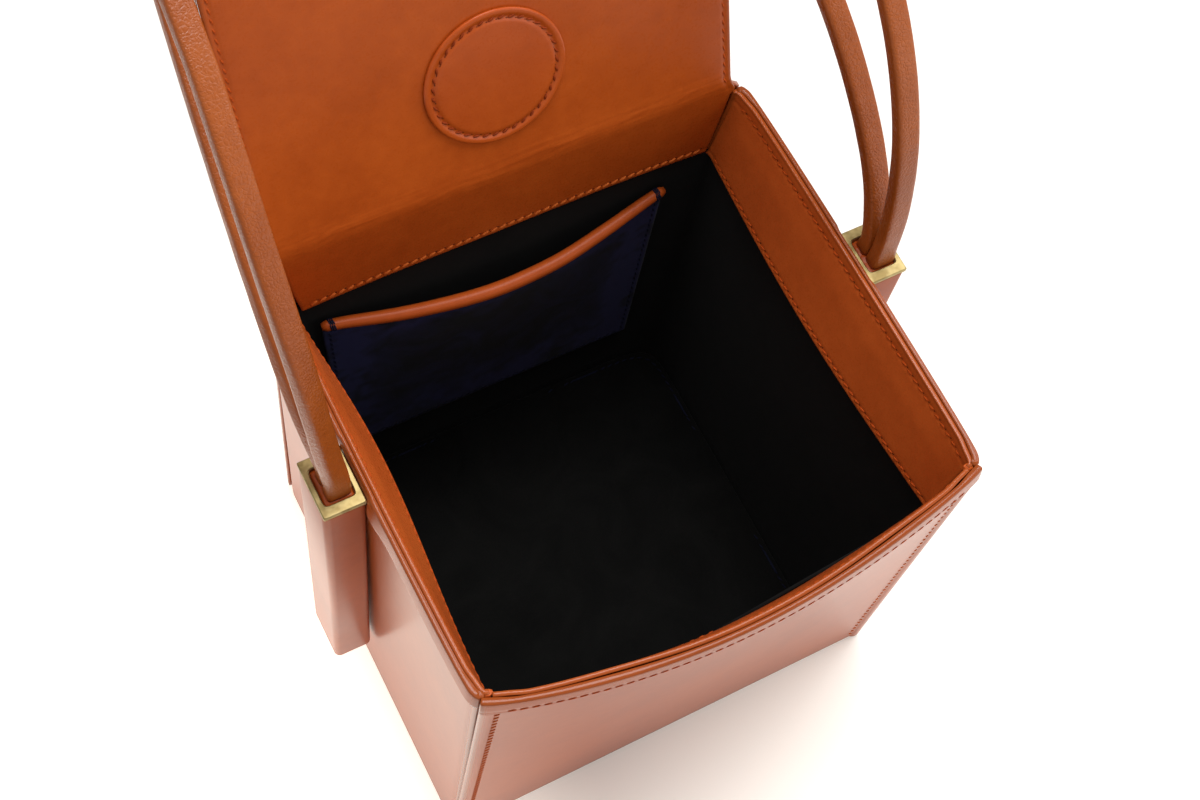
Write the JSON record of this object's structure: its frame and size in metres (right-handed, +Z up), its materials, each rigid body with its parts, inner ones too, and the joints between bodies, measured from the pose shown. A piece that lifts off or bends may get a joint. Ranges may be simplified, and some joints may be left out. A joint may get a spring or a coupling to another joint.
{
  "type": "box handbag",
  "caption": "Cube-shaped leather handbag with a hinged lid folded open, rolled handles on side blocks with metal frames, suede lining and an inside slip pocket.",
  "frame": {"origin": "centre of the base, on the surface that the bag stands on", "axes": "+Z up, -Y out of the front wall, +Y towards the back wall and the lid's hinge, +X to the right seen from the front"},
  "size_m": [0.1982, 0.3173, 0.334],
  "materials": {
    "leather": "smooth tan calf leather, satin",
    "strap_leather": "tan leather with fine wrinkled grain, satin",
    "suede": "black suede, matt",
    "navy_suede": "dark navy suede, matt",
    "gold": "polished gold-coloured metal"
  },
  "bodies": {
    "body": {"base_panel": "leather", "front_panel": "leather", "right_panel": "leather", "back_panel": "leather", "left_panel": "leather", "front_facing": "leather", "right_facing": "leather", "back_facing": "leather", "left_facing": "leather", "front_lining": "suede", "right_lining": "suede", "back_lining": "suede", "left_lining": "suede", "lining_floor": "suede", "pocket": "navy_suede", "pocket_piping": "leather", "lid_fold": "leather", "left_block": "leather", "right_block": "leather", "left_frame": "gold", "right_frame": "gold", "front_handle": "strap_leather", "back_handle": "strap_leather"},
    "lid": {"lid_outer": "leather", "lid_inner": "leather", "lid_patch": "leather"}
  },
  "joints": [
    {"name": "lid_hinge", "type": "hinge", "parent": "body", "child": "lid", "pos_m": [0, 0.071, 0.1676], "axis": [1, 0, 0], "range_deg": [0, 110.5]}
  ]
}
